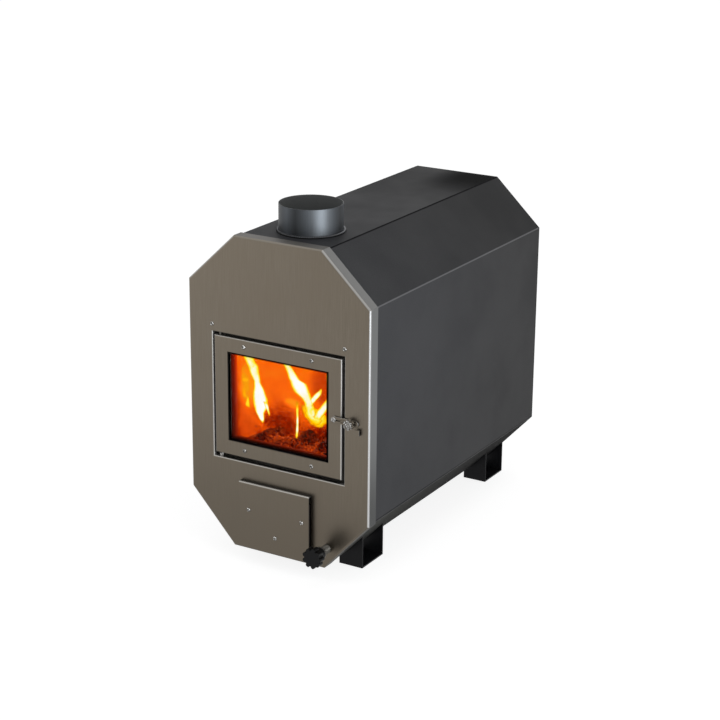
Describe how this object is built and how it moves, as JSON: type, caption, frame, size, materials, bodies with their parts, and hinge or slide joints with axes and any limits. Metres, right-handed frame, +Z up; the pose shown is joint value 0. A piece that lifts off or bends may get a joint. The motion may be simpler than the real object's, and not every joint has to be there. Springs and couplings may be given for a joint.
{
  "type": "wood-fired hot tub heater",
  "caption": "Octagonal wood-fired water heater with a glazed fire door, ash drawer, flue collar, drain cap and rear water pipes, on square-tube feet.",
  "frame": {"origin": "centre of the overall box in plan, on the ground under the feet", "axes": "+X to the right seen from the front, the door faces -Y, +Z up"},
  "size_m": [0.5, 1.007, 0.878],
  "materials": {
    "brushed_plate": "brushed stainless sheet",
    "graphite_shell": "satin graphite paint",
    "graphite_collar": "satin metallic graphite",
    "fire_steel": "heat-darkened steel",
    "grate_iron": "raw casting",
    "foot_black": "black paint",
    "pipe_steel": "plain pipe",
    "bright_steel": "bright",
    "door_glass": "clear ceramic glass",
    "seal_rope": "braided ceramic rope",
    "drain_rubber": "flat gasket",
    "cap_black": "moulded, ribbed"
  },
  "bodies": {
    "heater": {"front_plate": "brushed_plate", "shell_top": "graphite_shell", "shell_bottom": "graphite_shell", "shell_left": "graphite_shell", "shell_right": "graphite_shell", "rear_plate": "graphite_shell", "front_wall": "fire_steel", "firebox_top": "fire_steel", "firebox_floor": "fire_steel", "firebox_left": "fire_steel", "firebox_right": "fire_steel", "firebox_rear_wall": "fire_steel", "door_frame": "fire_steel", "drawer_sleeve": "fire_steel", "flue_collar": "graphite_collar", "flue_weld": "graphite_collar", "fire_grate": "grate_iron", "smoke_baffle": "fire_steel", "grate_ledge_left": "fire_steel", "grate_ledge_right": "fire_steel", "baffle_ledge_left": "fire_steel", "baffle_ledge_right": "fire_steel", "drawer_runner_left": "fire_steel", "drawer_runner_right": "fire_steel", "foot_front_left": "foot_black", "foot_front_right": "foot_black", "foot_rear_left": "foot_black", "foot_rear_right": "foot_black", "water_outlet_pipe": "pipe_steel", "water_inlet_pipe": "pipe_steel", "drain_nipple": "pipe_steel", "drain_ring": "bright_steel", "hinge_pins": "bright_steel", "hinge_bush": "bright_steel", "latch_keeper": "bright_steel", "plate_screws": "bright_steel", "plate_spacers": "bright_steel"},
    "door": {"door_leaf": "brushed_plate", "glass_gasket": "seal_rope", "door_glass": "door_glass", "glass_retainer": "fire_steel", "retainer_spacers": "bright_steel", "door_screws": "bright_steel", "door_nuts": "bright_steel", "door_rope_seal": "seal_rope", "latch_screw": "bright_steel", "latch_nut": "bright_steel", "latch_washer": "bright_steel"},
    "latch": {"latch_bar": "bright_steel", "latch_knob": "bright_steel"},
    "ash_drawer": {"ash_drawer_front": "brushed_plate", "ash_tray_floor": "fire_steel", "ash_tray_left": "fire_steel", "ash_tray_right": "fire_steel", "ash_tray_front": "fire_steel", "ash_tray_back": "fire_steel", "drawer_screws": "bright_steel", "drawer_nuts": "bright_steel"},
    "drain_gasket_carrier": {"drain_gasket": "drain_rubber"},
    "drain_cap_body": {"drain_cap": "cap_black"}
  },
  "joints": [
    {"name": "door_hinge", "type": "hinge", "parent": "heater", "child": "door", "pos_m": [-0.1645, -0.42545, 0.4162], "axis": [0, 0, -1], "range_deg": [0, 110]},
    {"name": "latch_pivot", "type": "hinge", "parent": "door", "child": "latch", "pos_m": [0.1565, -0.43495, 0.416], "axis": [0, -1, 0], "range_deg": [-12, 60]},
    {"name": "ash_drawer_slide", "type": "slide", "parent": "heater", "child": "ash_drawer", "axis": [0, -1, 0], "range_m": [0, 0.4]},
    {"name": "drain_cap_travel", "type": "slide", "parent": "heater", "child": "drain_gasket_carrier", "axis": [0, -1, 0], "range_m": [0, 0.011]},
    {"name": "drain_cap_turn", "type": "hinge", "parent": "drain_gasket_carrier", "child": "drain_cap_body", "pos_m": [0.13853, -0.48645, 0.087], "axis": [0, -1, 0], "range_deg": [0, 2160]}
  ],
  "couplings": [
    {"joint": "drain_cap_travel", "follows": "drain_cap_turn", "m_per_rad": 0.00028871}
  ]
}
